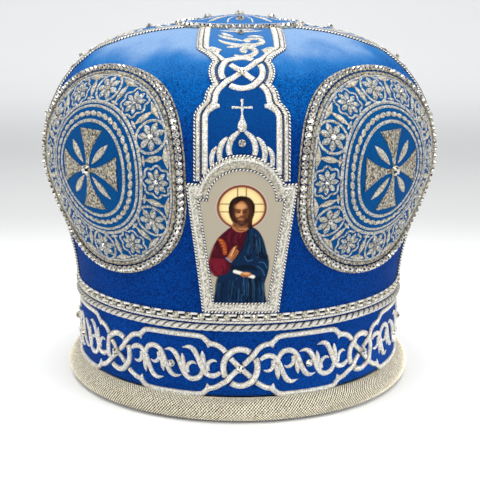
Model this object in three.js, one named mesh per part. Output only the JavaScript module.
// A closed bishop's mitre of the Eastern kind: a bulbous velvet crown on an upright band, a padded roll
// under the band, embroidered arms, round medallions and framed pictures around the crown, and a domed
// disc on top. Millimetres, +Z up. The front faces -Y, and the origin lies on the crown's axis, on the
// surface that the roll stands on.
import * as THREE from "three";

// Main sizes, for a head of about 60 cm
const BAND_RADIUS = 100;
const WALL = 3; // stiffened velvet of the band and the crown
const SEAT = 0.6; // lift of everything that is sewn on above the velvet
const CLEARANCE = 0.3; // gap between two pieces that lie side by side
const ARCH_CLEARANCE = 0.6; // the same around the pictures' arches, where the facets are coarse
const CROWN_BOTTOM = 59;
const AROUND = 48; // facets around the mitre

// The padded roll, and how far it is pressed flat where it stands
const ROLL_TUBE = 7;
const ROLL_PRESS = 0.4;
const ROLL_RADIUS = BAND_RADIUS + 1.3;

// Trim over the seam of band and crown
const ROPE_TUBE = 2.15;
const ROPE_HEIGHT = 55.1;
const CORD_TUBE = 0.9;
const CORD_HEIGHT = 58.3;
const CHAIN_WIDTH = 3.8;
const CHAIN_DEPTH = 2.4;
const BAND_CHAIN_ALONG = 2.9; // along the crown, from its lower edge

// The crown's outside, from its lower edge over the bulge to the middle of its top
const CROWN_SECTIONS = [
  { radius: 99.8, height: CROWN_BOTTOM },
  { radius: 102.2, height: 79.2 },
  { radius: 107.1, height: 99.0 },
  { radius: 113.8, height: 118.3 },
  { radius: 118.6, height: 138.1 },
  { radius: 117.1, height: 158.4 },
  { radius: 109.6, height: 177.3 },
  { radius: 96.9, height: 193.1 },
  { radius: 80.2, height: 204.7 },
  { radius: 60.9, height: 211.2 },
  { radius: 40.7, height: 214.4 },
  { radius: 20.4, height: 215.9 },
  { radius: 0, height: 216.5 },
];
const CROWN_ROWS_OUTSIDE = 24;
const CROWN_ROWS_INSIDE = 14;

// Picture frames: a tapered bar with short shoulders and a round arch, measured along the crown
const FRAME_THICK = 2.6;
const PLATE_THICK = 1.2;
const FRAME = {
  arch: { along: 74.5, outer: 23.6, inner: 17 },
  shoulder: { outer: 29.5, outerAlong: 83.3, inner: 21.6 },
  foot: { outer: 22, outerAlong: 6, inner: 16, innerAlong: 12.5 },
};

// Arms: half width at each distance along the crown, with a knot in the middle
const ARM_THICK = 1.4;
const ARM_SECTIONS = [
  { along: 104, half: 25 },
  { along: 112, half: 25 },
  { along: 120, half: 25 },
  { along: 125.5, half: 21 },
  { along: 130.5, half: 18 },
  { along: 136.5, half: 15.5 },
  { along: 141, half: 16.6 },
  { along: 146.5, half: 18 },
  { along: 150, half: 17 },
  { along: 153, half: 15 },
  { along: 158, half: 18 },
  { along: 162, half: 20 },
  { along: 164.5, half: 22.5 },
  { along: 167.5, half: 24.5 },
  { along: 177, half: 24.5 },
  { along: 187, half: 24.5 },
  { along: 196, half: 24.5 },
  { along: 205.4, half: 24.5 },
];
const KNOT_ALONG = 146.5;

// Medallions between the arms
const MEDALLION = { along: 84.5, radius: 58.5, thick: 1.4, chainRadius: 60.9 };

// Disc on the top, with its chain
const TOP_DISC = { along: 209.8, edge: 1.5, crest: 221.2, chainAlong: 207.6 };

// Set crystals
const STONES = {
  medallion: { radius: 2.6, height: 3.0 },
  arm: { radius: 2.2, height: 2.6 },
  top: { radius: 2.5, height: 3.2 },
};

const SIDES = [
  { name: "front", turn: 0 },
  { name: "right", turn: Math.PI / 2 },
  { name: "back", turn: Math.PI },
  { name: "left", turn: -Math.PI / 2 },
];
const CORNERS = [
  { name: "front_right", turn: Math.PI / 4 },
  { name: "back_right", turn: (3 * Math.PI) / 4 },
  { name: "back_left", turn: (-3 * Math.PI) / 4 },
  { name: "front_left", turn: -Math.PI / 4 },
];

const MATERIALS = {
  velvet: { color: 0x0b3fa0, roughness: 0.95, metalness: 0 },
  roll: { color: 0xb9b09c, roughness: 0.55, metalness: 0.4 },
  silver: { color: 0xcdc8ba, roughness: 0.45, metalness: 0.6 },
  embroidery: { color: 0x8fa0bd, roughness: 0.6, metalness: 0.3 },
  chain: { color: 0xdfe0e2, roughness: 0.2, metalness: 0.7 },
  plate: { color: 0xd6d0c4, roughness: 0.6, metalness: 0.1 },
  crystal: { color: 0xf2f4f8, roughness: 0.05, metalness: 0 },
};

const mitre = new THREE.Group();

function addPiece(name, geometry, look) {
  const piece = new THREE.Mesh(geometry, new THREE.MeshStandardMaterial(MATERIALS[look]));
  piece.name = name;
  mitre.add(piece);
  return piece;
}

// The crown's surface

const crownCurve = new THREE.SplineCurve(
  CROWN_SECTIONS.map((section) => new THREE.Vector2(section.radius, section.height)),
);
crownCurve.arcLengthDivisions = 600;
const CROWN_LENGTH = crownCurve.getLength();

// Radius and height of the spot that lies this far along the crown, lifted off its outside.
function crownSection(along, lift) {
  const spot = crownCurve.getPointAt(along / CROWN_LENGTH);
  const run = crownCurve.getTangentAt(along / CROWN_LENGTH);
  const radius = Math.max(0, spot.x + run.y * lift);
  return new THREE.Vector2(radius, spot.y - run.x * lift);
}

// A spot on the crown, so far to the side of the meridian at the given turn.
function crownPoint(turn, across, along, lift) {
  const ground = crownSection(along, 0);
  const lifted = crownSection(along, lift);
  const angle = turn + across / ground.x;
  return new THREE.Vector3(lifted.x * Math.sin(angle), -lifted.x * Math.cos(angle), lifted.y);
}

function steps(from, to, count) {
  return Array.from({ length: count + 1 }, (_, i) => from + ((to - from) * i) / count);
}

// Shapes turned about the mitre's axis

function turned(profile, facets) {
  return new THREE.LatheGeometry(profile, facets).rotateX(Math.PI / 2);
}

function roundSection(radius, height, tube, corners, flatHalfAngle) {
  const first = -Math.PI / 2 + flatHalfAngle;
  const last = (3 * Math.PI) / 2 - flatHalfAngle;
  const ring = steps(first, last, corners).map(
    (angle) => new THREE.Vector2(radius + tube * Math.cos(angle), height + tube * Math.sin(angle)),
  );
  if (flatHalfAngle > 0) {
    ring.push(ring[0].clone());
  }
  return ring;
}

// Section of a rhinestone chain: flat below, with bevelled shoulders. place(side, lift) sets it down.
function chainSection(place) {
  const half = CHAIN_WIDTH / 2;
  const corners = [
    [-half, 0],
    [half, 0],
    [half, CHAIN_DEPTH / 2],
    [half / 2, CHAIN_DEPTH],
    [-half / 2, CHAIN_DEPTH],
    [-half, CHAIN_DEPTH / 2],
    [-half, 0],
  ];
  return corners.map(([side, lift]) => place(side, SEAT + lift));
}

// Shapes that follow the crown

// A sheet of even thickness. outline(column, row) gives its spots: column runs from -1 to 1, row counts up.
function wrappedSheet(turn, columns, rows, thick, outline) {
  const sheet = new THREE.BoxGeometry(2, rows, 1, columns, rows, 1);
  const spots = sheet.getAttribute("position");
  for (let i = 0; i < spots.count; i += 1) {
    const row = Math.round(spots.getY(i) + rows / 2);
    const { across, along } = outline(spots.getX(i), row);
    const lift = SEAT + thick * (spots.getZ(i) + 0.5);
    spots.setXYZ(i, ...crownPoint(turn, across, along, lift));
  }
  return sheet;
}

// A round piece: the profile gives distance from the centre and lift, the crown gives the rest.
function wrappedRound(turn, along, profile, facets) {
  const round = new THREE.LatheGeometry(profile, facets);
  const spots = round.getAttribute("position");
  for (let i = 0; i < spots.count; i += 1) {
    const across = spots.getX(i);
    const up = -spots.getZ(i);
    spots.setXYZ(i, ...crownPoint(turn, across, along + up, spots.getY(i)));
  }
  return round;
}

// A closed bar of even thickness between an outer and an inner outline with as many points.
function wrappedBar(turn, stations, thick) {
  const square = [
    [0, 0],
    [1, 0],
    [1, 1],
    [0, 1],
    [0, 0],
  ];
  const profile = square.map(([out, lift]) => new THREE.Vector2(1 + out, lift));
  const bar = new THREE.LatheGeometry(profile, stations.length);
  const spots = bar.getAttribute("position");
  for (let i = 0; i < spots.count; i += 1) {
    const station = stations[Math.floor(i / square.length) % stations.length];
    const [out, lift] = square[i % square.length];
    const spot = out ? station.outer : station.inner;
    spots.setXYZ(i, ...crownPoint(turn, spot.x, spot.y, SEAT + thick * lift));
  }
  return bar;
}

// Crown, band and roll

function buildCrown() {
  const inside = steps(CROWN_LENGTH, 0, CROWN_ROWS_INSIDE).map((along) => crownSection(along, -WALL));
  inside[inside.length - 1].y = CROWN_BOTTOM;
  const outside = steps(0, CROWN_LENGTH, CROWN_ROWS_OUTSIDE).map((along) => crownSection(along, 0));
  outside[outside.length - 1].x = 0;
  inside[0].x = 0;
  addPiece("crown_shell", turned([...inside, ...outside], AROUND), "velvet");
}

function buildBandAndRoll() {
  const rollCentre = ROLL_TUBE - ROLL_PRESS;
  const bandBottom = rollCentre + ROLL_TUBE + CLEARANCE;
  const bandTop = CROWN_BOTTOM - CLEARANCE;
  const wall = [
    new THREE.Vector2(BAND_RADIUS - WALL, bandBottom),
    new THREE.Vector2(BAND_RADIUS, bandBottom),
    new THREE.Vector2(BAND_RADIUS, bandTop),
    new THREE.Vector2(BAND_RADIUS - WALL, bandTop),
    new THREE.Vector2(BAND_RADIUS - WALL, bandBottom),
  ];
  addPiece("head_band", turned(wall, AROUND), "velvet");
  const flat = Math.acos(rollCentre / ROLL_TUBE);
  addPiece("base_roll", turned(roundSection(ROLL_RADIUS, rollCentre, ROLL_TUBE, 12, flat), AROUND), "roll");
}

function buildBandTrim() {
  const rope = roundSection(BAND_RADIUS + CLEARANCE + ROPE_TUBE, ROPE_HEIGHT, ROPE_TUBE, 6, 0);
  addPiece("band_rope", turned(rope, AROUND), "silver");
  const cord = roundSection(BAND_RADIUS + CLEARANCE + CORD_TUBE, CORD_HEIGHT, CORD_TUBE, 6, 0);
  addPiece("band_cord", turned(cord, AROUND), "silver");
  const chain = chainSection((side, lift) => crownSection(BAND_CHAIN_ALONG + side, lift)).reverse();
  addPiece("band_chain", turned(chain, AROUND), "chain");
}

// Pictures

// Half of the frame's two outlines, from the middle of its foot round to the top of its arch.
function frameHalf() {
  const { arch, shoulder, foot } = FRAME;
  const half = [];
  const add = (outerX, outerY, innerX, innerY) => {
    half.push({ outer: new THREE.Vector2(outerX, outerY), inner: new THREE.Vector2(innerX, innerY) });
  };
  for (const t of [0, 0.5]) {
    add(foot.outer * t, foot.outerAlong, foot.inner * t, foot.innerAlong);
  }
  for (const t of steps(0, 1, 9)) {
    add(
      THREE.MathUtils.lerp(foot.outer, shoulder.outer, t),
      THREE.MathUtils.lerp(foot.outerAlong, shoulder.outerAlong, t),
      THREE.MathUtils.lerp(foot.inner, shoulder.inner, t),
      THREE.MathUtils.lerp(foot.innerAlong, arch.along, t),
    );
  }
  const outerStart = Math.asin((shoulder.outerAlong - arch.along) / arch.outer);
  for (const t of steps(0, 1, 7)) {
    const outerAngle = THREE.MathUtils.lerp(outerStart, Math.PI / 2, t);
    const innerAngle = (t * Math.PI) / 2;
    add(
      arch.outer * Math.cos(outerAngle),
      arch.along + arch.outer * Math.sin(outerAngle),
      arch.inner * Math.cos(innerAngle),
      arch.along + arch.inner * Math.sin(innerAngle),
    );
  }
  return half;
}

function mirrored(station) {
  const flip = (spot) => new THREE.Vector2(-spot.x, spot.y);
  return { outer: flip(station.outer), inner: flip(station.inner) };
}

// Rows of the plate that fills the frame's opening: half width at each distance along the crown.
function plateRows() {
  const { arch, shoulder, foot } = FRAME;
  const sides = steps(0, 1, 8).map((t) => ({
    along: THREE.MathUtils.lerp(foot.innerAlong + ARCH_CLEARANCE, arch.along - 2 * ARCH_CLEARANCE, t),
    half: THREE.MathUtils.lerp(foot.inner, shoulder.inner, t) - ARCH_CLEARANCE,
  }));
  const round = steps(0, 0.44 * Math.PI, 5).map((angle) => ({
    along: arch.along + (arch.inner - ARCH_CLEARANCE) * Math.sin(angle),
    half: (arch.inner - ARCH_CLEARANCE) * Math.cos(angle),
  }));
  const neck = { along: arch.along - ARCH_CLEARANCE, half: round[0].half };
  return [...sides, neck, ...round];
}

function buildPictures() {
  const half = frameHalf();
  const otherHalf = half.slice(1, -1).reverse().map(mirrored);
  const stations = [...half, ...otherHalf];
  const rows = plateRows();
  for (const side of SIDES) {
    addPiece(`picture_frame_${side.name}`, wrappedBar(side.turn, stations, FRAME_THICK), "silver");
    const plate = wrappedSheet(side.turn, 4, rows.length - 1, PLATE_THICK, (column, row) => ({
      across: column * rows[row].half,
      along: rows[row].along,
    }));
    addPiece(`picture_plate_${side.name}`, plate, "plate");
  }
}

// Arms and medallions

// The arm's lower edge keeps clear of the frame's shoulders and arch.
function armFoot(across) {
  const { arch, shoulder } = FRAME;
  const reach = arch.outer * arch.outer - across * across;
  const archEdge = reach > 0 ? arch.along + Math.sqrt(reach) : 0;
  return Math.max(archEdge, shoulder.outerAlong) + ARCH_CLEARANCE + CLEARANCE;
}

function buildArms() {
  const first = ARM_SECTIONS[0];
  const lowRows = 2;
  const rows = ARM_SECTIONS.length - 1 + lowRows;
  const outline = (column, row) => {
    if (row >= lowRows) {
      const section = ARM_SECTIONS[row - lowRows];
      return { across: column * section.half, along: section.along };
    }
    const across = column * first.half;
    return { across, along: THREE.MathUtils.lerp(armFoot(across), first.along, row / lowRows) };
  };
  for (const side of SIDES) {
    addPiece(`arm_${side.name}`, wrappedSheet(side.turn, 8, rows, ARM_THICK, outline), "embroidery");
  }
}

function buildMedallions() {
  const rings = steps(0, MEDALLION.radius, 6);
  const below = rings.map((ring) => new THREE.Vector2(ring, SEAT));
  const above = rings.map((ring) => new THREE.Vector2(ring, SEAT + MEDALLION.thick)).reverse();
  const chain = chainSection((side, lift) => new THREE.Vector2(MEDALLION.chainRadius + side, lift));
  for (const corner of CORNERS) {
    const disc = wrappedRound(corner.turn, MEDALLION.along, [...below, ...above], 26);
    addPiece(`medallion_${corner.name}`, disc, "embroidery");
    const ring = wrappedRound(corner.turn, MEDALLION.along, chain, 32);
    addPiece(`medallion_chain_${corner.name}`, ring, "chain");
  }
}

function buildTopDisc() {
  const below = steps(CROWN_LENGTH, TOP_DISC.along, 4).map((along) => crownSection(along, SEAT));
  below[0].x = 0;
  const rim = crownSection(TOP_DISC.along, SEAT);
  const rise = TOP_DISC.crest - rim.y - TOP_DISC.edge;
  const dome = steps(1, 0, 5).map(
    (t) => new THREE.Vector2(rim.x * t, rim.y + TOP_DISC.edge + rise * (1 - t * t)),
  );
  addPiece("top_disc", turned([...below, ...dome], 32), "embroidery");
  const chain = chainSection((side, lift) => crownSection(TOP_DISC.chainAlong + side, lift)).reverse();
  addPiece("top_chain", turned(chain, 32), "chain");
}

// Crystals

// A flat-backed crystal with a girdle and a table, standing along +Z.
function crystal(size) {
  const profile = [
    new THREE.Vector2(0, 0),
    new THREE.Vector2(size.radius * 0.85, 0),
    new THREE.Vector2(size.radius, size.height * 0.35),
    new THREE.Vector2(size.radius * 0.55, size.height),
    new THREE.Vector2(0, size.height),
  ];
  return turned(profile, 8);
}

function setOnCrown(piece, turn, along, lift) {
  const spot = crownPoint(turn, 0, along, lift);
  const outward = crownPoint(turn, 0, along, lift + 1).sub(spot);
  piece.position.copy(spot);
  piece.quaternion.setFromUnitVectors(new THREE.Vector3(0, 0, 1), outward.normalize());
}

function buildStones() {
  for (const corner of CORNERS) {
    const stone = addPiece(`medallion_stone_${corner.name}`, crystal(STONES.medallion), "crystal");
    setOnCrown(stone, corner.turn, MEDALLION.along, SEAT + MEDALLION.thick + CLEARANCE);
  }
  for (const side of SIDES) {
    const stone = addPiece(`arm_stone_${side.name}`, crystal(STONES.arm), "crystal");
    setOnCrown(stone, side.turn, KNOT_ALONG, SEAT + ARM_THICK + CLEARANCE);
  }
  const stone = addPiece("top_stone", crystal(STONES.top), "crystal");
  stone.position.z = TOP_DISC.crest + CLEARANCE;
}

buildCrown();
buildBandAndRoll();
buildBandTrim();
buildPictures();
buildArms();
buildMedallions();
buildTopDisc();
buildStones();

export default mitre;
